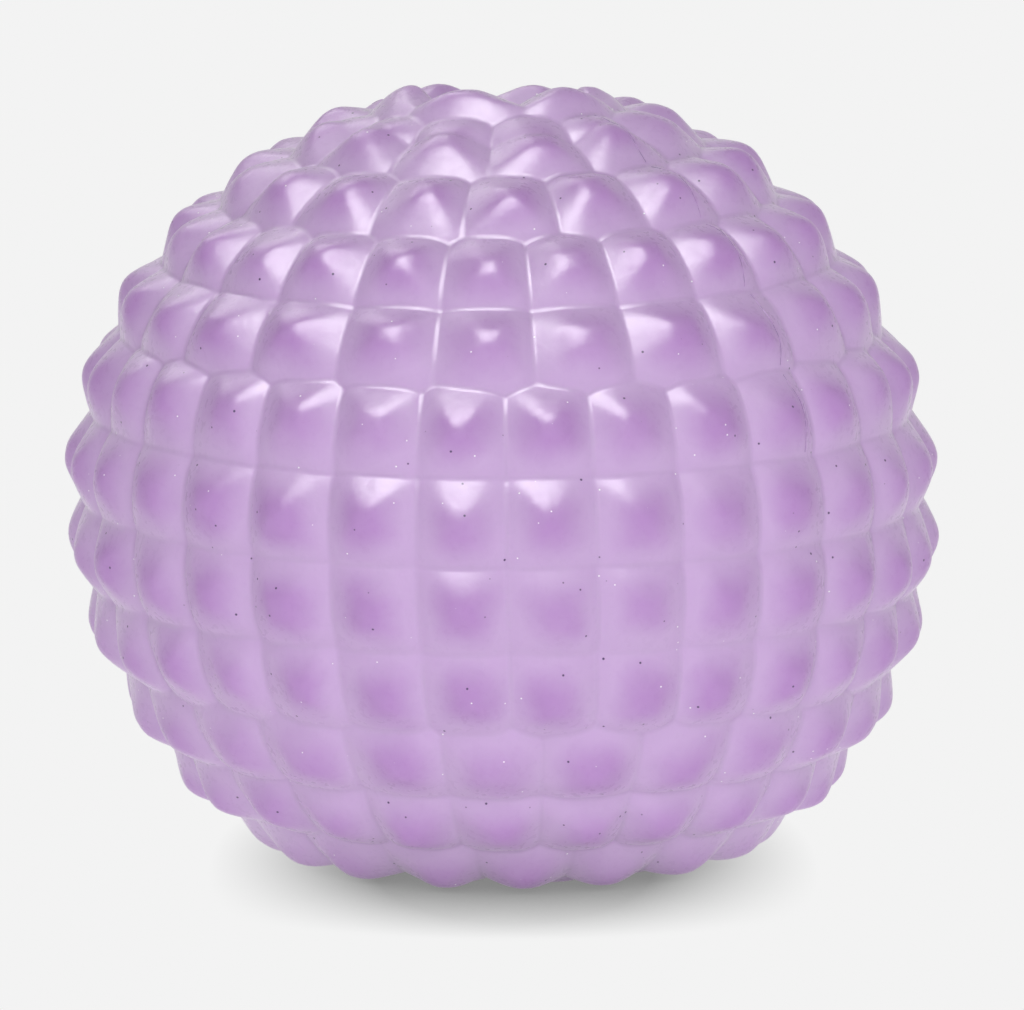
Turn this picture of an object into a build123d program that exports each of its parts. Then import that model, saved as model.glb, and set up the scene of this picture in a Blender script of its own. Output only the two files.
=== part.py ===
from build123d import *
import math
import os

# Hollow, air-filled massage ball, standing on its sagged base.
# Millimetres. +Z is up along the axis of the nub rings, -Y is the front.
# The origin is the centre of the flat base that the ball rests on.

# Outside of the ball, measured at the bottom of the grooves.
GROOVE_RADIUS = 35.9        # at the equator
CROWN_RATIO = 0.955         # height of the top half over GROOVE_RADIUS, before it sags
BELLY_RATIO = 0.986         # the same for the bottom half
CROWN_LEVEL = 32.9          # sagged top of the grooves above the equator
BASE_LEVEL = -29.6          # flattened bottom of the grooves below the equator
REST_LEVEL = -30.6          # plane of the table below the equator

# Rings of nubs, listed from the equator to either pole. Every ring has a nub
# centred on one azimuth, measured from the front towards +X.
GROOVE_LATITUDES = (0, 11.9, 23.8, 35.4, 47.1, 59.4, 71.5, 82.0)
NUBS_IN_RING = (30, 30, 24, 24, 18, 12, 6)
NUB_AZIMUTH = 42.0

# One nub: a four-sided pyramid with a small blunt tip.
NUB_HEIGHT = 1.6            # above the grooves
TIP_SHARE = 0.2             # width of the blunt tip over width of the nub
CORNER_SHIFT = 0.7          # how far a corner runs up into a misaligned ring
CORNER_DEPTH = 0.3          # how much deeper a groove is at a corner
SHARED_CORNER_ANGLE = 2.0   # corners closer than this become one, in degrees

# Wall and air space.
WALL = 3.0
CAVITY_STEPS = 24

# Flat pad that the ball stands on, in the middle of the base.
PAD_RADIUS = 3.6
PAD_ROOT = 1.0              # how far the pad reaches into the wall

# Valve in the middle of the crown.
BOSS_RADIUS = 7.0
BOSS_DEPTH = 7.5
VALVE_SINK = 1.4            # how far the valve's top lies below the crown
SLEEVE_RADIUS = 3.3
FLANGE_RADIUS = 5.4
FLANGE_THICKNESS = 1.2
SEAT_RADIUS = 2.6
SEAT_DEPTH = 1.2
STEM_BORE_RADIUS = 1.5
STEM_GAP = 0.05             # running clearance around the plug
SEAT_GAP = 0.02
PLUG_BELOW_SLEEVE = 0.8
PLUG_NOSE = 0.7
HEAD_DOME = 0.35
PRY_NOTCH_WIDTH = 1.4
PRY_NOTCH_REACH = 0.4


def groove_point(latitude):
    """Radius and height of the groove surface at a latitude in degrees."""
    angle = math.radians(latitude)
    ratio = CROWN_RATIO if latitude >= 0 else BELLY_RATIO
    reach = GROOVE_RADIUS / math.hypot(math.cos(angle), math.sin(angle) / ratio)
    height = reach * math.sin(angle)
    return reach * math.cos(angle), min(max(height, BASE_LEVEL), CROWN_LEVEL)


def outward(latitude):
    """Unit vector out of the groove surface at a latitude, as (radial, vertical)."""
    before = groove_point(latitude - 0.5)
    after = groove_point(latitude + 0.5)
    radial = after[1] - before[1]
    vertical = before[0] - after[0]
    length = math.hypot(radial, vertical)
    return radial / length, vertical / length


def surface_point(latitude, azimuth, height=0.0):
    """A point at a height above the groove surface. Azimuth 0 is the front."""
    radius, level = groove_point(latitude)
    radial, vertical = outward(latitude)
    radius += radial * height
    level = max(level + vertical * height, REST_LEVEL) - REST_LEVEL
    turn = math.radians(azimuth)
    return Vector(radius * math.sin(turn), -radius * math.cos(turn), level)


def rings():
    """Every ring from the base to the crown: (south, north, nub count, turn)."""
    lower = []
    upper = []
    for index, count in enumerate(NUBS_IN_RING):
        near = GROOVE_LATITUDES[index]
        far = GROOVE_LATITUDES[index + 1]
        turn = NUB_AZIMUTH - 180 / count
        lower.insert(0, (-far, -near, count, turn))
        upper.append((near, far, count, turn))
    return lower + upper


def offset_from_groove(azimuth, count, turn):
    """0 in the middle of a nub, 1 on the groove beside it."""
    pitch = 360 / count
    place = ((azimuth - turn) / pitch) % 1
    return abs(place - 0.5) * 2


def boundary(latitude, below, above):
    """Corner points, in order of azimuth, of the groove between two rings."""
    azimuths = []
    for ring in (below, above):
        if ring is not None:
            pitch = 360 / ring[2]
            azimuths += [(ring[3] + pitch * i) % 360 for i in range(ring[2])]
    merged = []
    for azimuth in sorted(azimuths):
        if merged and azimuth - merged[-1] < SHARED_CORNER_ANGLE:
            merged[-1] = (merged[-1] + azimuth) / 2
        else:
            merged.append(azimuth)
    if len(merged) > 1 and merged[0] + 360 - merged[-1] < SHARED_CORNER_ANGLE:
        merged[0] = ((merged[0] + merged.pop() - 360) / 2) % 360
        merged.sort()
    points = []
    for azimuth in merged:
        if below is None or above is None:
            points.append((azimuth, surface_point(latitude, azimuth)))
            continue
        low = offset_from_groove(azimuth, below[2], below[3]) ** 4
        high = offset_from_groove(azimuth, above[2], above[3]) ** 4
        shift = math.degrees(CORNER_SHIFT * (high - low) / GROOVE_RADIUS)
        depth = CORNER_DEPTH * (high + low) / 2
        points.append((azimuth, surface_point(latitude + shift, azimuth, -depth)))
    return points


def stretch(points, start, end):
    """The boundary points from one azimuth to another, ends included."""
    half = SHARED_CORNER_ANGLE
    found = []
    for azimuth, point in points:
        for turn in (-360, 0, 360):
            if start - half < azimuth + turn < end + half:
                found.append((azimuth + turn, point))
    return [point for _, point in sorted(found, key=lambda item: item[0])]


def flat(*points):
    """A flat face through three or more points."""
    return Face(Wire.make_polygon(points, close=True))


def flank(foot, tip_start, tip_end):
    """The triangles between a chain of foot points and one edge of the tip."""
    middle = len(foot) // 2
    faces = [flat(foot[i], foot[i + 1], tip_start) for i in range(middle)]
    faces.append(flat(foot[middle], tip_end, tip_start))
    faces += [flat(foot[i], foot[i + 1], tip_end) for i in range(middle, len(foot) - 1)]
    return faces


def nub(ring, index, south_points, north_points):
    """The faces of one nub of a ring."""
    south, north, count, turn = ring
    pitch = 360 / count
    start = turn + pitch * index
    end = start + pitch
    bottom = stretch(south_points, start, end)
    top = stretch(north_points, start, end)
    centre_latitude = (south + north) / 2
    half_height = (north - south) / 2 * TIP_SHARE
    half_width = pitch / 2 * TIP_SHARE
    centre = start + pitch / 2
    south_west = surface_point(centre_latitude - half_height, centre - half_width, NUB_HEIGHT)
    south_east = surface_point(centre_latitude - half_height, centre + half_width, NUB_HEIGHT)
    north_east = surface_point(centre_latitude + half_height, centre + half_width, NUB_HEIGHT)
    north_west = surface_point(centre_latitude + half_height, centre - half_width, NUB_HEIGHT)
    faces = [flat(south_west, south_east, north_east)]
    faces.append(flat(south_west, north_east, north_west))
    faces += flank(bottom, south_west, south_east)
    faces += flank([bottom[-1], top[-1]], south_east, north_east)
    faces += flank(top[::-1], north_east, north_west)
    faces += flank([top[0], bottom[0]], north_west, south_west)
    return faces


def nubbed_ball():
    """The outside of the ball as one closed solid."""
    stack = rings()
    edges = [boundary(stack[0][0], None, stack[0])]
    for below, above in zip(stack, stack[1:]):
        edges.append(boundary(below[1], below, above))
    edges.append(boundary(stack[-1][1], stack[-1], None))
    faces = [flat(*[point for _, point in edges[0]])]
    faces.append(flat(*[point for _, point in edges[-1]]))
    for level, ring in enumerate(stack):
        for index in range(ring[2]):
            faces += nub(ring, index, edges[level], edges[level + 1])
    return Solid(Shell(faces))


def air_space():
    """The hollow inside the ball."""
    points = []
    for step in range(CAVITY_STEPS + 1):
        latitude = -90 + 180 * step / CAVITY_STEPS
        radius, level = groove_point(latitude)
        radial, vertical = outward(latitude)
        radius = max(radius - radial * WALL, 0.0)
        points.append((radius, level - vertical * WALL - REST_LEVEL))
    points[0] = (0.0, points[0][1])
    points[-1] = (0.0, points[-1][1])
    half = Face(Wire.make_polygon([Vector(x, 0, z) for x, z in points], close=True))
    return revolve(half, Axis.Z)


def disc(radius, bottom, top):
    """An upright cylinder on the valve's axis."""
    return extrude(Plane.XY.offset(bottom) * Circle(radius), top - bottom)


CROWN = CROWN_LEVEL - REST_LEVEL
VALVE_TOP = CROWN - VALVE_SINK
BOSS_END = CROWN - BOSS_DEPTH


def moulded_skin():
    """The nubbed skin, with the pad it stands on and the boss that holds the valve."""
    ball = nubbed_ball() + disc(PAD_RADIUS, 0, BASE_LEVEL - REST_LEVEL + PAD_ROOT)
    cavity = air_space() - disc(BOSS_RADIUS, BOSS_END, CROWN)
    return ball - cavity - disc(SLEEVE_RADIUS, BOSS_END - WALL, CROWN + NUB_HEIGHT)


def valve_sleeve():
    """The bush that the air goes in through, with a flange inside the ball."""
    sleeve = disc(SLEEVE_RADIUS, BOSS_END, VALVE_TOP)
    sleeve += disc(FLANGE_RADIUS, BOSS_END - FLANGE_THICKNESS, BOSS_END)
    sleeve -= disc(STEM_BORE_RADIUS, BOSS_END - 2 * FLANGE_THICKNESS, VALVE_TOP)
    sleeve -= disc(SEAT_RADIUS, VALVE_TOP - SEAT_DEPTH, VALVE_TOP)
    reach = SEAT_RADIUS + PRY_NOTCH_REACH
    notch_middle = Pos(reach / 2, 0, VALVE_TOP - SEAT_DEPTH / 2)
    return sleeve - notch_middle * Box(reach, PRY_NOTCH_WIDTH, SEAT_DEPTH)


def valve_plug():
    """The stopper: a low domed head on a round stem with a tapered nose."""
    head_bottom = VALVE_TOP - SEAT_DEPTH + SEAT_GAP
    nose_end = BOSS_END - FLANGE_THICKNESS - PLUG_BELOW_SLEEVE
    stem_radius = STEM_BORE_RADIUS - STEM_GAP
    head_radius = SEAT_RADIUS - STEM_GAP
    plug = disc(head_radius, head_bottom, VALVE_TOP)
    plug += disc(stem_radius, nose_end, head_bottom)
    plug = chamfer(plug.edges().group_by(Axis.Z)[0], PLUG_NOSE)
    return chamfer(plug.edges().group_by(Axis.Z)[-1], HEAD_DOME, 2 * HEAD_DOME)


def main():
    os.makedirs("parts", exist_ok=True)
    pieces = {
        "moulded_skin": moulded_skin(),
        "valve_sleeve": valve_sleeve(),
        "valve_plug": valve_plug(),
    }
    for name, piece in pieces.items():
        piece.label = name
        export_step(piece, f"parts/{name}.step")


main()
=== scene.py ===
import math

import bpy
import numpy as np
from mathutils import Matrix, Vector


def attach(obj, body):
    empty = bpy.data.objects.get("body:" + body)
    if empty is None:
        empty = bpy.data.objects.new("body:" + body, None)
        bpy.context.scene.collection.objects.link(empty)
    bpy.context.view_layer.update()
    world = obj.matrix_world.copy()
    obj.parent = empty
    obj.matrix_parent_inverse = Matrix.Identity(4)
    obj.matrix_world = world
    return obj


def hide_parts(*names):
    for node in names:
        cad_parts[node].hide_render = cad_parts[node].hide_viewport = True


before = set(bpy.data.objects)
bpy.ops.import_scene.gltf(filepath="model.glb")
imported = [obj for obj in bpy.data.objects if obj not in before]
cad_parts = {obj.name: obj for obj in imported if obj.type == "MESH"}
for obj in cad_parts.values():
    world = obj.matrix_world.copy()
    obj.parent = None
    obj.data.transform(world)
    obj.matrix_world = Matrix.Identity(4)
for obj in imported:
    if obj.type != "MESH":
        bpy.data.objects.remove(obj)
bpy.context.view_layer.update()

# The ball's driving dimensions, the same as the CAD's, in metres.
# A level is a height above the equator, and the table is at REST_LEVEL.
MM = 0.001
GROOVE_RADIUS = 35.9 * MM
CROWN_RATIO = 0.955
BELLY_RATIO = 0.986
CROWN_LEVEL = 32.9 * MM
BASE_LEVEL = -29.6 * MM
REST_LEVEL = -30.6 * MM
EQUATOR = -REST_LEVEL
GROOVE_LATITUDES = (0, 11.9, 23.8, 35.4, 47.1, 59.4, 71.5, 82.0)
NUBS_IN_RING = (30, 30, 24, 24, 18, 12, 6)
NUB_AZIMUTH = 42.0
NUB_HEIGHT = 1.6 * MM
WALL = 3.0 * MM
PAD_RADIUS = 3.6 * MM
BOSS_RADIUS = 7.0 * MM
BOSS_DEPTH = 7.5 * MM
VALVE_SINK = 1.4 * MM
SLEEVE_RADIUS = 3.3 * MM
FLANGE_RADIUS = 5.4 * MM
FLANGE_THICKNESS = 1.2 * MM
SEAT_RADIUS = 2.6 * MM
SEAT_DEPTH = 1.2 * MM
STEM_BORE_RADIUS = 1.5 * MM
STEM_GAP = 0.05 * MM
SEAT_GAP = 0.02 * MM
PLUG_BELOW_SLEEVE = 0.8 * MM
PLUG_NOSE = 0.7 * MM
HEAD_DOME = 0.35 * MM
PRY_NOTCH_WIDTH = 1.4 * MM
PRY_NOTCH_REACH = 0.4 * MM
PRY_NOTCH_AZIMUTH = 90

# Softness of the real shape, which the CAD leaves out.
SQUASHED_BELOW = -45        # the rings below this latitude are squashed by the ball's weight
SQUASHED_HEIGHT = 1.3 * MM
LEVEL_BLEND = 0.5 * MM      # rounding where the crown and the base go flat
TABLE_BLEND = 0.1 * MM
LEAN_BELOW = 0.033          # sideways sag for each unit of height, below the equator
LEAN_ABOVE = 0.012
CROWN_TILT = 0.02           # the crown's left side is lower, for each unit of width
TILT_START = 14.0 * MM      # level where the tilt begins
TILT_BLEND = 14.0 * MM
CROWN_LIFT = 1.0 * MM       # the ring round the valve stands up, most at the front
CROWN_LIFT_SLOPE = 0.115    # extra lift for each unit of distance to the front
LIFT_RADII = (5.4 * MM, 7.2 * MM, 9.6 * MM, 13.5 * MM)      # starts, full, full, ends
DRIFT = 0.8                 # uneven stretch round the ball, in degrees
DRIFT_SIDE = 15.0           # azimuth where the stretch moves the nubs furthest
LEAN_FREE_RADIUS = 6.0 * MM     # no lean inside this radius, around the valve and the pad
LEAN_FULL_RADIUS = 12.0 * MM
NUB_SQUARENESS = 3.1        # 2 is a cone, larger is a sharper pyramid
TIP_SHARE = 0.18            # width of the blunt tip over width of the nub
TIP_BLEND = 0.12
TIP_WANDER = 0.14           # how far a tip lies off the middle of its nub
HEIGHT_SPREAD = 0.08
DENTED_SHARE = 0.3          # share of the nubs with a small dent in the tip
DENT_DEPTH = 0.10 * MM
DENT_SIZE = 0.2             # over half the width of the nub
RIPPLE = 0.035 * MM         # unevenness of the moulded surface
RIPPLE_LENGTHS = (1.8 * MM, 5.0 * MM)
RIPPLE_WAVES = 16
RIPPLE_PHASE = 6.3          # largest phase of a wave, in radians
SEED = 7

STEPS_ACROSS = 24           # mesh steps across one nub
STEPS_UP = 22               # mesh steps up one nub
SMALL_STEPS = 96            # mesh steps round the valve parts
CAVITY_STEPS = 42           # mesh steps down the wall of the air space
CAVITY_LATITUDES = (76, -88)
NORMAL_STEP = 0.4           # latitude step for a slope, in degrees
VALLEY_REACH = 0.45         # how far a groove may wander into a ring, of the ring's height
VALLEY_HALVINGS = 30        # halvings that find the bottom of a groove
SAME_AZIMUTH = 1e-4         # mesh columns closer than this are one column, in degrees
SKIN_BEVEL = 0.25 * MM
SLEEVE_BEVEL = 0.12 * MM
PLUG_BEVEL = 0.1 * MM
PLUG_RING_DEPTH = 0.12 * MM
PLUG_RING_RADII = (1.2 * MM, 1.05 * MM, 0.75 * MM, 0.6 * MM)


def soft_limit(values, limit, blend):
    """Values kept under a limit, with a rounded corner of size blend."""
    return values - blend * np.logaddexp(0, (values - limit) / blend)


def groove_profile(latitude):
    """Radius and level of the groove surface, for latitudes in degrees."""
    angle = np.radians(latitude)
    ratio = np.where(latitude >= 0, CROWN_RATIO, BELLY_RATIO)
    reach = GROOVE_RADIUS / np.hypot(np.cos(angle), np.sin(angle) / ratio)
    level = soft_limit(reach * np.sin(angle), CROWN_LEVEL, LEVEL_BLEND)
    level = -soft_limit(-level, -BASE_LEVEL, LEVEL_BLEND)
    return reach * np.cos(angle), level


def groove_normal(latitude):
    """Radial and vertical parts of the unit vector out of the groove surface."""
    radius_after, level_after = groove_profile(latitude + NORMAL_STEP)
    radius_before, level_before = groove_profile(latitude - NORMAL_STEP)
    radial = level_after - level_before
    vertical = radius_before - radius_after
    length = np.hypot(radial, vertical)
    return radial / length, vertical / length


def turned(radius, level, azimuth):
    """Points at a radius, level and azimuth, as x, y, z. Azimuth 0 is the front."""
    turn = np.radians(azimuth)
    radius = radius + 0 * turn
    level = level + 0 * turn
    return np.stack([radius * np.sin(turn), -radius * np.cos(turn), level + EQUATOR], axis=-1)


def surface(latitude, azimuth, height):
    """Points at a height above the groove surface of the leaning ball."""
    radius, level = groove_profile(latitude)
    radial, vertical = groove_normal(latitude)
    radius = radius + radial * height
    level = -soft_limit(-(level + vertical * height), -REST_LEVEL, TABLE_BLEND)
    share = np.clip((radius - LEAN_FREE_RADIUS) / (LEAN_FULL_RADIUS - LEAN_FREE_RADIUS), 0, 1)
    stretch = DRIFT * np.cos(np.radians(azimuth - DRIFT_SIDE))
    points = turned(radius, level, azimuth + stretch * share)
    lean = np.where(level < 0, LEAN_BELOW, LEAN_ABOVE)
    points[..., 0] -= lean * level * share
    tilt = CROWN_TILT * share * np.clip((level - TILT_START) / TILT_BLEND, 0, 1)
    points[..., 2] += points[..., 0] * tilt
    lifted = np.where(level > 0, np.interp(radius, LIFT_RADII, (0, 1, 1, 0)), 0)
    points[..., 2] += lifted * (CROWN_LIFT - CROWN_LIFT_SLOPE * points[..., 1])
    return points


class Ring:
    """One ring of nubs, with the small differences between its nubs."""

    def __init__(self, south, north, count, seed):
        self.south = south
        self.north = north
        self.count = count
        self.tall = SQUASHED_HEIGHT if north < SQUASHED_BELOW else NUB_HEIGHT
        self.turn = NUB_AZIMUTH - 180 / count
        rng = np.random.default_rng(seed)
        self.aside = rng.uniform(-TIP_WANDER, TIP_WANDER, count)
        self.upward = rng.uniform(-TIP_WANDER, TIP_WANDER, count)
        self.taller = rng.uniform(-HEIGHT_SPREAD, HEIGHT_SPREAD, count)
        self.dent = DENT_DEPTH * (rng.uniform(0, 1, count) < DENTED_SHARE)

    def azimuths(self):
        """Azimuths of the mesh columns, in order from 0 to 360."""
        steps = self.count * STEPS_ACROSS
        return np.sort((self.turn + np.arange(steps) * 360 / steps) % 360)

    def height(self, latitude, azimuth):
        """Height of the nubs above the groove surface. It is below zero outside the ring."""
        place = (azimuth - self.turn) * self.count / 360
        nub = np.floor(place).astype(int) % self.count
        across = (place % 1 - 0.5) * 2
        up = (latitude - (self.south + self.north) / 2) * 2 / (self.north - self.south)
        across = across - self.aside[nub] * (1 - across ** 2)
        up = up - self.upward[nub] * np.maximum(1 - up ** 2, 0)
        squares = np.abs(across) ** NUB_SQUARENESS + np.abs(up) ** NUB_SQUARENESS
        away = squares ** (1 / NUB_SQUARENESS)
        rise = soft_limit((1 - away) / (1 - TIP_SHARE), 1, TIP_BLEND)
        dent = self.dent[nub] * np.exp(-(away / DENT_SIZE) ** 2)
        return self.tall * rise * (1 + self.taller[nub] * np.maximum(rise, 0)) - dent


def rings():
    """Every ring from the base to the crown."""
    lower = []
    upper = []
    for index, count in enumerate(NUBS_IN_RING):
        near = GROOVE_LATITUDES[index]
        far = GROOVE_LATITUDES[index + 1]
        lower.insert(0, Ring(-far, -near, count, SEED + 2 * index))
        upper.append(Ring(near, far, count, SEED + 2 * index + 1))
    return lower + upper


def valley(below, above, azimuth):
    """Latitude of the groove between two rings, where their flanks meet."""
    low = np.full_like(azimuth, below.north - VALLEY_REACH * (below.north - below.south))
    high = np.full_like(azimuth, above.south + VALLEY_REACH * (above.north - above.south))
    for _ in range(VALLEY_HALVINGS):
        guess = (low + high) / 2
        still_below = below.height(guess, azimuth) > above.height(guess, azimuth)
        low = np.where(still_below, guess, low)
        high = np.where(still_below, high, guess)
    return (low + high) / 2


def merged(first, second):
    """The azimuths of both lists, in order, without near repeats."""
    both = np.sort(np.concatenate([first, second]))
    keep = np.concatenate([[True], np.diff(both) > SAME_AZIMUTH])
    return both[keep]


class MeshBuilder:
    """Collects the points, faces and nub shares of one mesh."""

    def __init__(self):
        self.points = []
        self.rises = []
        self.faces = []
        self.count = 0

    def row(self, points, rise=0.0):
        """Adds a row of points. Rise is 0 in a groove and 1 on a tip."""
        start = self.count
        self.points.append(points)
        self.rises.append(np.zeros(len(points)) + rise)
        self.count += len(points)
        return np.arange(start, self.count)

    def quads(self, low, high):
        """Faces between two closed rows with the same azimuths."""
        low_next = np.roll(low, -1)
        high_next = np.roll(high, -1)
        self.faces += np.stack([low, low_next, high_next, high], axis=-1).tolist()

    def zipper(self, low, low_azimuths, high, high_azimuths):
        """Triangles between two closed rows with different azimuths."""
        i = 0
        j = 0
        n = len(low)
        m = len(high)
        while i < n or j < m:
            next_low = low_azimuths[(i + 1) % n] + (360 if i + 1 >= n else 0)
            next_high = high_azimuths[(j + 1) % m] + (360 if j + 1 >= m else 0)
            if j >= m or (i < n and next_low <= next_high):
                self.faces.append([int(low[i % n]), int(low[(i + 1) % n]), int(high[j % m])])
                i += 1
            else:
                self.faces.append([int(low[i % n]), int(high[(j + 1) % m]), int(high[j % m])])
                j += 1

    def fan(self, row, centre, facing_up):
        """Closes a row with triangles to one point on the axis."""
        middle = int(self.row(np.array([centre]))[0])
        for a, b in zip(row.tolist(), np.roll(row, -1).tolist()):
            self.faces.append([a, b, middle] if facing_up else [b, a, middle])

    def lathe(self, azimuths, path, start=None):
        """Rows for a path of (radius, level), joined in order. It returns the last row."""
        for radius, level in path:
            row = self.row(turned(radius, level, azimuths))
            if start is not None:
                self.quads(start, row)
            start = row
        return start

    def build(self, name):
        mesh = bpy.data.meshes.new(name)
        mesh.from_pydata(np.concatenate(self.points).tolist(), [], self.faces)
        share = mesh.attributes.new("rise", "FLOAT", "POINT")
        share.data.foreach_set("value", np.concatenate(self.rises).astype(np.float32))
        mesh.validate()
        mesh.polygons.foreach_set("use_smooth", [True] * len(mesh.polygons))
        obj = bpy.data.objects.new(name, mesh)
        bpy.context.collection.objects.link(obj)
        return obj


def ripple(points):
    """Slow unevenness of the moulded surface, from -1 to 1."""
    rng = np.random.default_rng(SEED)
    total = np.zeros(len(points))
    for _ in range(RIPPLE_WAVES):
        direction = rng.normal(size=3)
        direction /= np.linalg.norm(direction)
        length = rng.uniform(*RIPPLE_LENGTHS)
        total += np.sin(points @ direction * 2 * math.pi / length + rng.uniform(0, RIPPLE_PHASE))
    return total / RIPPLE_WAVES


def nub_row(build, ring, latitudes, azimuths):
    """One row of skin points over a ring."""
    heights = ring.height(latitudes, azimuths)
    uneven = RIPPLE * ripple(surface(latitudes, azimuths, heights))
    rise = np.clip(heights / NUB_HEIGHT, 0, 1)
    return build.row(surface(latitudes, azimuths, heights + uneven), rise)


def cavity_path():
    """The wall of the air space from the valve's boss to the bottom."""
    latitudes = np.linspace(*CAVITY_LATITUDES, CAVITY_STEPS)
    radius, level = groove_profile(latitudes)
    radial, vertical = groove_normal(latitudes)
    inside = list(zip(radius - radial * WALL, level - vertical * WALL))
    return [point for point in inside if point[0] > BOSS_RADIUS or point[1] < 0]


BOSS_END = CROWN_LEVEL - BOSS_DEPTH
VALVE_TOP = CROWN_LEVEL - VALVE_SINK


def skin():
    """The nubbed skin, with the valve's hole and the hollow inside."""
    build = MeshBuilder()
    stack = rings()
    azimuths = stack[0].azimuths()
    pad = [(PAD_RADIUS - SKIN_BEVEL, REST_LEVEL), (PAD_RADIUS, REST_LEVEL + SKIN_BEVEL)]
    pad += [(PAD_RADIUS + SKIN_BEVEL / 2, BASE_LEVEL - SKIN_BEVEL), (PAD_RADIUS + SKIN_BEVEL, BASE_LEVEL)]
    first = build.lathe(azimuths, pad[:1])
    foot = build.lathe(azimuths, pad[1:], start=first)
    build.fan(first, (0, 0, 0), facing_up=False)
    latitudes = np.full_like(azimuths, stack[0].south)
    edges = [(build.row(surface(latitudes, azimuths, 0 * azimuths)), azimuths, latitudes)]
    build.quads(foot, edges[0][0])
    for below, above in zip(stack, stack[1:]):
        azimuths = merged(below.azimuths(), above.azimuths())
        latitudes = valley(below, above, azimuths)
        edges.append((nub_row(build, below, latitudes, azimuths), azimuths, latitudes))
    azimuths = stack[-1].azimuths()
    latitudes = np.full_like(azimuths, stack[-1].north)
    edges.append((build.row(surface(latitudes, azimuths, 0 * azimuths)), azimuths, latitudes))
    for lower_edge, upper_edge, ring in zip(edges, edges[1:], stack):
        fill_ring(build, ring, lower_edge, upper_edge)
    inner = [(SLEEVE_RADIUS + SKIN_BEVEL, CROWN_LEVEL), (SLEEVE_RADIUS, CROWN_LEVEL - SKIN_BEVEL)]
    inner += [(SLEEVE_RADIUS, BOSS_END + SKIN_BEVEL), (SLEEVE_RADIUS + SKIN_BEVEL, BOSS_END)]
    inner += [(BOSS_RADIUS - SKIN_BEVEL, BOSS_END), (BOSS_RADIUS, BOSS_END + SKIN_BEVEL)]
    last = build.lathe(azimuths, inner + cavity_path(), start=edges[-1][0])
    build.fan(last, (0, 0, BASE_LEVEL + WALL + EQUATOR), facing_up=True)
    return build.build("nubbed_skin")


def fill_ring(build, ring, lower_edge, upper_edge):
    """The nubs of one ring, between the grooves below and above it."""
    start, start_azimuths, south = lower_edge
    end, end_azimuths, north = upper_edge
    azimuths = ring.azimuths()
    south = np.interp(azimuths, start_azimuths, south, period=360)
    north = np.interp(azimuths, end_azimuths, north, period=360)
    rows = []
    for step in range(1, STEPS_UP):
        rows.append(nub_row(build, ring, south + (north - south) * step / STEPS_UP, azimuths))
    build.zipper(start, start_azimuths, rows[0], azimuths)
    for low, high in zip(rows, rows[1:]):
        build.quads(low, high)
    build.zipper(rows[-1], azimuths, end, end_azimuths)


def ring_piece(name, path, columns):
    """A turned piece with a hole through it, from a closed path."""
    build = MeshBuilder()
    first = build.lathe(columns, path[:1])
    last = build.lathe(columns, path[1:], start=first)
    build.quads(last, first)
    return build.build(name)


def sleeve():
    """The valve's rubber bush, with its seat, its bore and the pry notch."""
    columns = np.arange(SMALL_STEPS) * 360 / SMALL_STEPS
    edge = SLEEVE_BEVEL
    aside = np.abs(np.radians(columns - PRY_NOTCH_AZIMUTH))
    reach = SEAT_RADIUS + PRY_NOTCH_REACH
    in_notch = (reach * np.sin(aside) < PRY_NOTCH_WIDTH / 2) & (aside < 1)
    seat = np.where(in_notch, reach / np.cos(np.minimum(aside, 1)), SEAT_RADIUS)
    flange_low = BOSS_END - FLANGE_THICKNESS
    path = [(STEM_BORE_RADIUS + edge, flange_low), (STEM_BORE_RADIUS, flange_low + edge)]
    path += [(STEM_BORE_RADIUS, VALVE_TOP - SEAT_DEPTH), (seat - edge, VALVE_TOP - SEAT_DEPTH)]
    path += [(seat, VALVE_TOP - SEAT_DEPTH + edge), (seat, VALVE_TOP - edge)]
    path += [(np.minimum(seat + edge, SLEEVE_RADIUS - edge), VALVE_TOP)]
    path += [(SLEEVE_RADIUS - edge / 2, VALVE_TOP), (SLEEVE_RADIUS, VALVE_TOP - edge / 2)]
    path += [(SLEEVE_RADIUS, BOSS_END), (FLANGE_RADIUS - edge, BOSS_END)]
    path += [(FLANGE_RADIUS, BOSS_END - edge), (FLANGE_RADIUS, flange_low + edge)]
    path += [(FLANGE_RADIUS - edge, flange_low)]
    return ring_piece("valve_bush", path[::-1], columns)


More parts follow.
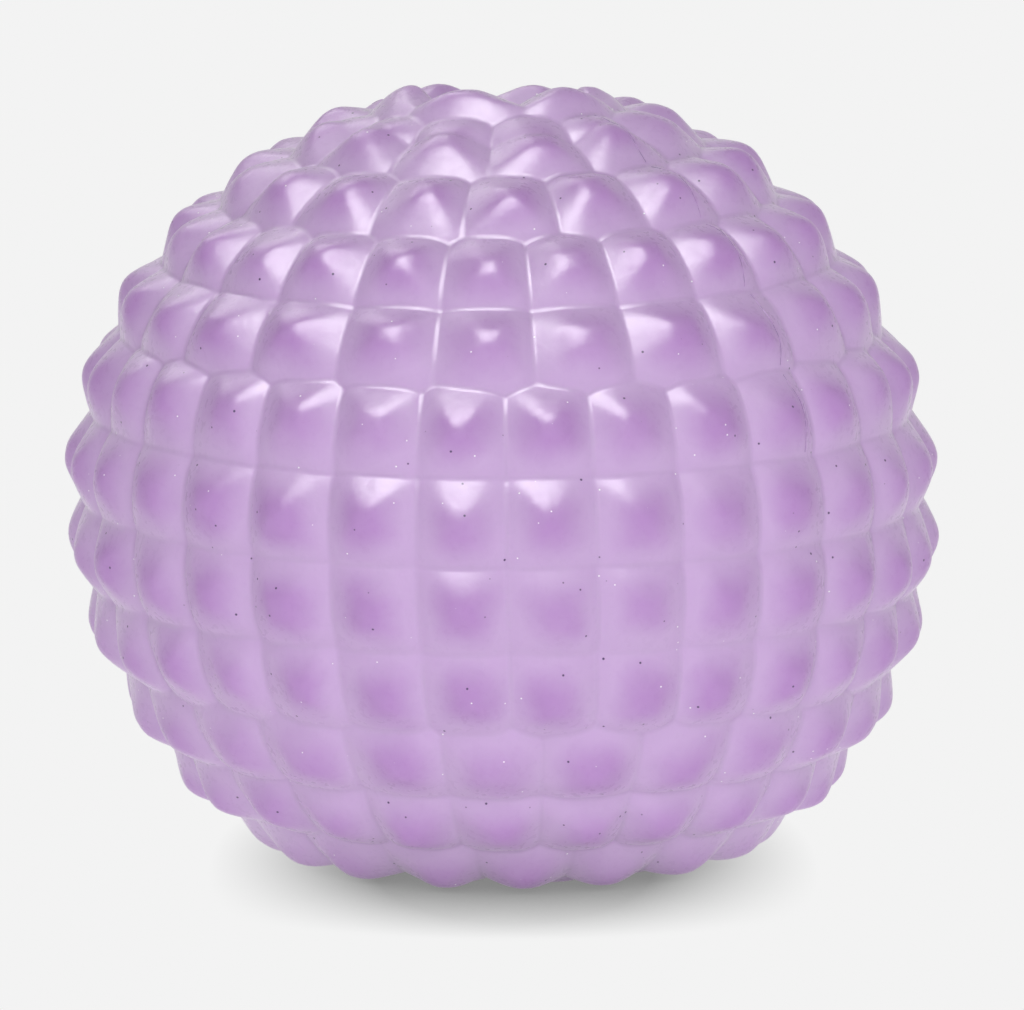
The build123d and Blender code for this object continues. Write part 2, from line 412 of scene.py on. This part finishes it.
def plug():
    """The stopper, with a rounded nose and a shallow ring in its head."""
    columns = np.arange(SMALL_STEPS) * 360 / SMALL_STEPS
    head_bottom = VALVE_TOP - SEAT_DEPTH + SEAT_GAP
    nose_end = BOSS_END - FLANGE_THICKNESS - PLUG_BELOW_SLEEVE
    stem = STEM_BORE_RADIUS - STEM_GAP
    head = SEAT_RADIUS - STEM_GAP
    edge = PLUG_BEVEL
    outer, outer_foot, inner_foot, inner = PLUG_RING_RADII
    path = [(stem - PLUG_NOSE, nose_end), (stem - PLUG_NOSE / 2, nose_end + PLUG_NOSE / 2)]
    path += [(stem, nose_end + PLUG_NOSE), (stem, head_bottom), (head - edge, head_bottom)]
    path += [(head, head_bottom + edge), (head, VALVE_TOP - HEAD_DOME)]
    path += [(head - HEAD_DOME, VALVE_TOP - HEAD_DOME / 4), (head - 2 * HEAD_DOME, VALVE_TOP)]
    path += [(outer, VALVE_TOP), (outer_foot, VALVE_TOP - PLUG_RING_DEPTH)]
    path += [(inner_foot, VALVE_TOP - PLUG_RING_DEPTH), (inner, VALVE_TOP)]
    build = MeshBuilder()
    first = build.lathe(columns, path[:1])
    build.fan(first, (0, 0, nose_end + EQUATOR), facing_up=False)
    last = build.lathe(columns, path[1:], start=first)
    build.fan(last, (0, 0, VALVE_TOP + EQUATOR), facing_up=True)
    return build.build("valve_stopper")


FLASH_AZIMUTH = 45.0
FLASH_WIDTH = 0.14 * MM
FLASH_HEIGHT = 0.05 * MM
FLASH_GAP = 0.6             # bare stretch at both ends of each ring, in degrees
FLASH_STEPS = 40
FLASH_WAVE = 0.2            # how far the line wanders within a ring, in degrees
FLASH_WAVES = 0.9           # radians of that wave for each degree of latitude
FLASH_PHASE = 6             # largest phase of that wave, in radians
FLASH_STEP_ASIDE = 0.3      # how far it may lie aside from ring to ring, in degrees


def flash():
    """The fine broken line of rubber that the mould leaves where its halves part."""
    build = MeshBuilder()
    rng = np.random.default_rng(SEED)
    for ring in rings():
        for side in (0, 180):
            if ring.south < GROOVE_LATITUDES[1] or ring.north > GROOVE_LATITUDES[6]:
                continue
            latitudes = np.linspace(ring.south + FLASH_GAP, ring.north - FLASH_GAP, FLASH_STEPS)
            wave = FLASH_WAVE * np.sin(latitudes * FLASH_WAVES + rng.uniform(0, FLASH_PHASE))
            aside = rng.uniform(-FLASH_STEP_ASIDE, FLASH_STEP_ASIDE)
            azimuths = FLASH_AZIMUTH + side + wave + aside
            heights = ring.height(latitudes, azimuths)
            radius = groove_profile(latitudes)[0]
            half = np.degrees(FLASH_WIDTH / 2 / radius)
            left = surface(latitudes, azimuths - half, heights - FLASH_HEIGHT)
            crest = surface(latitudes, azimuths, heights + FLASH_HEIGHT)
            right = surface(latitudes, azimuths + half, heights - FLASH_HEIGHT)
            strip(build, left, crest, right)
    return build.build("mould_flash")


def strip(build, left, crest, right):
    """A thin closed ridge with a three-sided section."""
    sections = np.stack([right, left, crest], axis=1)
    rows = [build.row(section) for section in sections]
    for low, high in zip(rows, rows[1:]):
        build.quads(low, high)
    build.faces.append(rows[0][::-1].tolist())
    build.faces.append(rows[-1].tolist())


# Materials. A scale is of a noise texture, in waves per metre, and a span is the
# part of the noise's range that a ramp spreads out.


SPECK_CORE = 0.6            # full colour inside this share of a speck's radius


class Nodes:
    """A short way to write a node material."""

    def __init__(self, name):
        self.material = bpy.data.materials.new(name)
        self.material.use_nodes = True
        self.tree = self.material.node_tree
        self.shader = self.tree.nodes["Principled BSDF"]
        self.place = self.add("ShaderNodeTexCoord").outputs["Object"]

    def add(self, kind, **inputs):
        node = self.tree.nodes.new(kind)
        for key, value in inputs.items():
            self.put(node.inputs[key], value)
        return node

    def put(self, socket, value):
        if isinstance(value, bpy.types.NodeSocket):
            self.tree.links.new(value, socket)
        else:
            socket.default_value = value

    def noise(self, scale, detail=2.0):
        node = self.add("ShaderNodeTexNoise", Vector=self.place, Scale=scale, Detail=detail)
        return node.outputs["Fac"]

    def ramp(self, value, low, high, to_low=0.0, to_high=1.0):
        node = self.add("ShaderNodeMapRange")
        for key, number in (("From Min", low), ("From Max", high), ("To Min", to_low), ("To Max", to_high)):
            node.inputs[key].default_value = number
        self.put(node.inputs["Value"], value)
        return node.outputs["Result"]

    def maths(self, operation, first, second):
        node = self.tree.nodes.new("ShaderNodeMath")
        node.operation = operation
        self.put(node.inputs[0], first)
        self.put(node.inputs[1], second)
        return node.outputs[0]

    def vector_maths(self, operation, first, second=(0, 0, 0)):
        node = self.tree.nodes.new("ShaderNodeVectorMath")
        node.operation = operation
        self.put(node.inputs[0], first)
        node.inputs[1].default_value = second
        return node

    def mix(self, share, first, second):
        node = self.tree.nodes.new("ShaderNodeMix")
        node.data_type = "RGBA"
        self.put(node.inputs["Factor"], share)
        self.put(node.inputs["A"], first)
        self.put(node.inputs["B"], second)
        return node.outputs["Result"]

    def attribute(self, name):
        node = self.tree.nodes.new("ShaderNodeAttribute")
        node.attribute_name = name
        return node.outputs["Fac"]

    def specks(self, spacing, size, kept):
        """1 inside small round specks with a soft edge, of which only a share is kept."""
        cells = self.add("ShaderNodeTexVoronoi", Vector=self.place, Scale=1 / spacing)
        edge = size / spacing
        inside = self.ramp(cells.outputs["Distance"], edge, SPECK_CORE * edge)
        lot = self.add("ShaderNodeSeparateColor", Color=cells.outputs["Color"]).outputs[0]
        chosen = self.maths("LESS_THAN", lot, kept)
        return self.maths("MULTIPLY", inside, chosen)

    def bump(self, height, depth, below=None):
        node = self.add("ShaderNodeBump", Height=height)
        node.inputs["Strength"].default_value = 1.0
        node.inputs["Distance"].default_value = depth
        if below is not None:
            self.put(node.inputs["Normal"], below)
        return node.outputs["Normal"]


# The paler groove lilac is partly talc powder in the grooves and partly painted sheen on the flanks.
GROOVE_POWDER_AND_SHEEN_LILAC = (0.600, 0.420, 0.697, 1)
TIP_LILAC = (0.485, 0.277, 0.592, 1)
TIP_FADE = (0.15, 0.9)      # the colour deepens between these shares of a nub's height
CLOUD_SCALE = 160
CLOUD_STRENGTH = 0.22       # how far a cloud shifts that share
NOISE_SPAN = (0.3, 0.7)     # the noise hardly leaves this range
GLOSS_SCALE = 1600
GLOSS_SPAN = (0.38, 0.62)
GLOSS_ROUGHNESS = (0.24, 0.46)
LUMP_SCALE = 800
LUMP_DEPTH = 0.030 * MM
POWDER_SCALE = 2400
POWDER_DEPTH = 0.020 * MM
DUST_SPECKS = (1.6 * MM, 0.13 * MM, 0.45)   # spacing, radius and share kept
# White specks, partly lint and partly painted glints that sparkle in the highlights.
LINT_AND_GLINT_SPECKS = (1.3 * MM, 0.09 * MM, 0.35)
RUBBER_SETTINGS = {
    "Subsurface Weight": 0.35,
    "Subsurface Radius": (1.0, 0.7, 1.0),
    "Subsurface Scale": 1.2 * MM,
    "Coat Weight": 0.6,
    "Coat Roughness": 0.34,
    "Coat IOR": 1.42,
    "Specular IOR Level": 0.1,
    "Sheen Weight": 0.12,
    "Sheen Roughness": 0.3,
}
DUST = (0.10, 0.06, 0.16, 1)
# Colour of the white specks: lint, and painted glints.
LINT_AND_GLINT = (0.95, 0.93, 0.97, 1)
# Painted shade along the flash line's small step.
SEAM_PAINTED_SHADE = (0.30, 0.18, 0.40, 1)
PLUG_GREY = (0.70, 0.66, 0.74, 1)
PLUG_WHITE = (0.76, 0.73, 0.79, 1)


def lilac_rubber(material_name, with_dust_and_glints=True):
    """Soft translucent lilac rubber, paler in the grooves, with a powdery gloss. The paler grooves are
    partly powder and partly painted sheen.
    """
    made = Nodes(material_name)
    shader = made.shader
    cloud = made.ramp(made.noise(CLOUD_SCALE, detail=4), *NOISE_SPAN, -CLOUD_STRENGTH, CLOUD_STRENGTH)
    tone = made.maths("ADD", made.attribute("rise"), cloud)
    # Paler towards the grooves: partly powder, partly painted sheen.
    colour = made.mix(made.ramp(tone, *TIP_FADE), GROOVE_POWDER_AND_SHEEN_LILAC, TIP_LILAC)
    if with_dust_and_glints:
        colour = made.mix(made.specks(*DUST_SPECKS), colour, DUST)
        # White specks: partly lint, partly painted glints.
        colour = made.mix(made.specks(*LINT_AND_GLINT_SPECKS), colour, LINT_AND_GLINT)
    made.put(shader.inputs["Base Color"], colour)
    patches = made.ramp(made.noise(GLOSS_SCALE, detail=3), *GLOSS_SPAN, *GLOSS_ROUGHNESS)
    made.put(shader.inputs["Roughness"], patches)
    lumps = made.bump(made.noise(LUMP_SCALE), LUMP_DEPTH)
    made.put(shader.inputs["Normal"], lumps)
    powder = made.bump(made.noise(POWDER_SCALE), POWDER_DEPTH, below=lumps)
    made.put(shader.inputs["Coat Normal"], powder)
    for name, value in RUBBER_SETTINGS.items():
        shader.inputs[name].default_value = value
    return made.material


SEAM_SCALE = 1100
SEAM_SPAN = (0.42, 0.58)
SEAM_ROUGHNESS = (0.4, 0.7)


def dark_seam():
    """The thin flash line, darker in patches with painted shade of its small step."""
    made = Nodes("seam_rubber")
    # Patches of painted shade along the line, which are also rougher.
    shaded_patches = made.ramp(made.noise(SEAM_SCALE, detail=3), *SEAM_SPAN)
    made.put(made.shader.inputs["Base Color"], made.mix(shaded_patches, TIP_LILAC, SEAM_PAINTED_SHADE))
    made.put(made.shader.inputs["Roughness"], made.ramp(shaded_patches, 0, 1, *SEAM_ROUGHNESS))
    return made.material


PLUG_CLOUD_SCALE = 500
PLUG_GRAIN_SCALE = 2500
PLUG_BUMP_SCALE = 3000
PLUG_BUMP_DEPTH = 0.006 * MM
PLUG_SPAN = (0.35, 0.65)
PLUG_ROUGHNESS = (0.34, 0.46)


def pale_plastic():
    """Satin off-white plastic of the plug."""
    made = Nodes("plug_plastic")
    cloud = made.ramp(made.noise(PLUG_CLOUD_SCALE, detail=3), *PLUG_SPAN)
    made.put(made.shader.inputs["Base Color"], made.mix(cloud, PLUG_GREY, PLUG_WHITE))
    grain = made.ramp(made.noise(PLUG_GRAIN_SCALE), *PLUG_SPAN, *PLUG_ROUGHNESS)
    made.put(made.shader.inputs["Roughness"], grain)
    made.put(made.shader.inputs["Normal"], made.bump(made.noise(PLUG_BUMP_SCALE), PLUG_BUMP_DEPTH))
    return made.material


def dress(obj, surface_material, body, node):
    """Gives a piece its material and its place in the frame."""
    obj.data.materials.append(surface_material)
    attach(obj, body)
    if node:
        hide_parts(node)


dress(skin(), lilac_rubber("lilac_rubber"), "ball", "moulded_skin")
dress(flash(), dark_seam(), "ball", None)
dress(sleeve(), lilac_rubber("bush_rubber", with_dust_and_glints=False), "ball", "valve_sleeve")
dress(plug(), pale_plastic(), "plug", "valve_plug")

# Studio

FLOOR_HALF = 4.0
FLOOR_GLOW = 0.896          # linear value of the pale grey backdrop
SHADE_SAMPLES = 16
SHADE_REACH = 13 * MM       # how far the soft shade of the ball spreads
SHADE_MIDDLE = (1 * MM, -8 * MM, 0)     # the shade is drawn a little to the front
SHADE_NARROWING = (2, 1, 1)             # and it is narrow from side to side
SHADE_FADES = (24 * MM, 52 * MM)        # full and gone at these distances
SHADE_STRENGTH = 0.74


def floor():
    """A pale even floor, with soft shade where the ball stands close over it."""
    mesh = bpy.data.meshes.new("studio_floor")
    half = FLOOR_HALF
    corners = [(-half, -half, 0), (half, -half, 0), (half, half, 0), (-half, half, 0)]
    mesh.from_pydata(corners, [], [(0, 1, 2, 3)])
    obj = bpy.data.objects.new("studio_floor", mesh)
    bpy.context.collection.objects.link(obj)
    made = Nodes("pale_floor")
    open_share = made.add("ShaderNodeAmbientOcclusion", Distance=SHADE_REACH)
    open_share.samples = SHADE_SAMPLES
    offset = made.vector_maths("SUBTRACT", made.place, SHADE_MIDDLE).outputs["Vector"]
    narrowed = made.vector_maths("MULTIPLY", offset, SHADE_NARROWING).outputs["Vector"]
    distance = made.vector_maths("LENGTH", narrowed).outputs["Value"]
    share = made.ramp(distance, *SHADE_FADES, SHADE_STRENGTH, 0)
    closed = made.maths("SUBTRACT", 1.0, open_share.outputs["AO"])
    shade = made.maths("SUBTRACT", 1.0, made.maths("MULTIPLY", closed, share))
    made.shader.inputs["Base Color"].default_value = (0, 0, 0, 1)
    made.shader.inputs["Specular IOR Level"].default_value = 0
    made.shader.inputs["Emission Color"].default_value = (1, 1, 1, 1)
    made.put(made.shader.inputs["Emission Strength"], made.maths("MULTIPLY", shade, FLOOR_GLOW))
    obj.data.materials.append(made.material)


floor()

# Softboxes: azimuth and elevation of the middle, spread (all in degrees), power,
# and whether the light shows in the diffuse shading and in the gloss.
# Azimuth 0 is the camera's side and positive is to its right.
SOFTBOXES = {
    "overhead": (-15, 70, 60, 0.34, True, False),
    "overhead_gloss": (-20, 68, 44, 8.4, False, True),
    "back_left_gloss": (-150, 48, 36, 1.0, False, True),
    "front_fill": (5, 20, 70, 1.82, True, False),
    "front_gloss": (0, 4, 76, 0.3, False, True),
}
ROOM_FRONT = 0.22           # brightness of the room on the camera's side
ROOM_BACK = 0.80            # brightness of the pale backdrop
ROOM_FADE = (0.35, 0.9)     # the backdrop starts and is full here, as the Y of a direction


def softbox(name, azimuth, elevation, spread, power, diffuse, gloss):
    """A big soft light that looks at the ball."""
    data = bpy.data.lights.new(name, "SUN")
    data.angle = math.radians(spread)
    data.energy = power
    obj = bpy.data.objects.new(name, data)
    obj.visible_diffuse = diffuse
    obj.visible_glossy = gloss
    flat = math.cos(math.radians(elevation))
    turn = math.radians(azimuth)
    towards = Vector((flat * math.sin(turn), -flat * math.cos(turn), math.sin(math.radians(elevation))))
    obj.rotation_euler = (-towards).to_track_quat("-Z", "Y").to_euler()
    bpy.context.collection.objects.link(obj)


def room():
    """White light from all round, strongest from the backdrop behind the ball."""
    world = bpy.data.worlds.new("studio")
    world.use_nodes = True
    tree = world.node_tree
    direction = tree.nodes.new("ShaderNodeTexCoord")
    parts = tree.nodes.new("ShaderNodeSeparateXYZ")
    tree.links.new(direction.outputs["Generated"], parts.inputs["Vector"])
    fade = tree.nodes.new("ShaderNodeMapRange")
    fade.inputs["From Min"].default_value = ROOM_FADE[0]
    fade.inputs["From Max"].default_value = ROOM_FADE[1]
    fade.inputs["To Min"].default_value = ROOM_FRONT
    fade.inputs["To Max"].default_value = ROOM_BACK
    tree.links.new(parts.outputs["Y"], fade.inputs["Value"])
    background = tree.nodes["Background"]
    background.inputs["Color"].default_value = (1, 1, 1, 1)
    tree.links.new(fade.outputs["Result"], background.inputs["Strength"])
    bpy.context.scene.world = world


for box_name, settings in SOFTBOXES.items():
    softbox(box_name, *settings)
room()

CAMERA_DISTANCE = 25 * GROOVE_RADIUS
CAMERA_ELEVATION = math.radians(9.78)
BALL_WIDTH_IN_PICTURE = 419.7 / 1024    # of GROOVE_RADIUS, as a share of the picture's width
SENSOR = 36.0
CLIP_START = 0.01
AIM = Vector((0.86 * MM, 0, EQUATOR - 0.87 * MM))


def camera():
    data = bpy.data.cameras.new("camera")
    data.sensor_width = SENSOR
    data.lens = BALL_WIDTH_IN_PICTURE * SENSOR * CAMERA_DISTANCE / GROOVE_RADIUS
    data.clip_start = CLIP_START
    obj = bpy.data.objects.new("camera", data)
    back = Vector((0, -math.cos(CAMERA_ELEVATION), math.sin(CAMERA_ELEVATION)))
    obj.location = AIM + back * CAMERA_DISTANCE
    obj.rotation_euler = (-back).to_track_quat("-Z", "Y").to_euler()
    bpy.context.collection.objects.link(obj)
    bpy.context.scene.camera = obj


camera()
bpy.context.scene.view_settings.view_transform = "Standard"
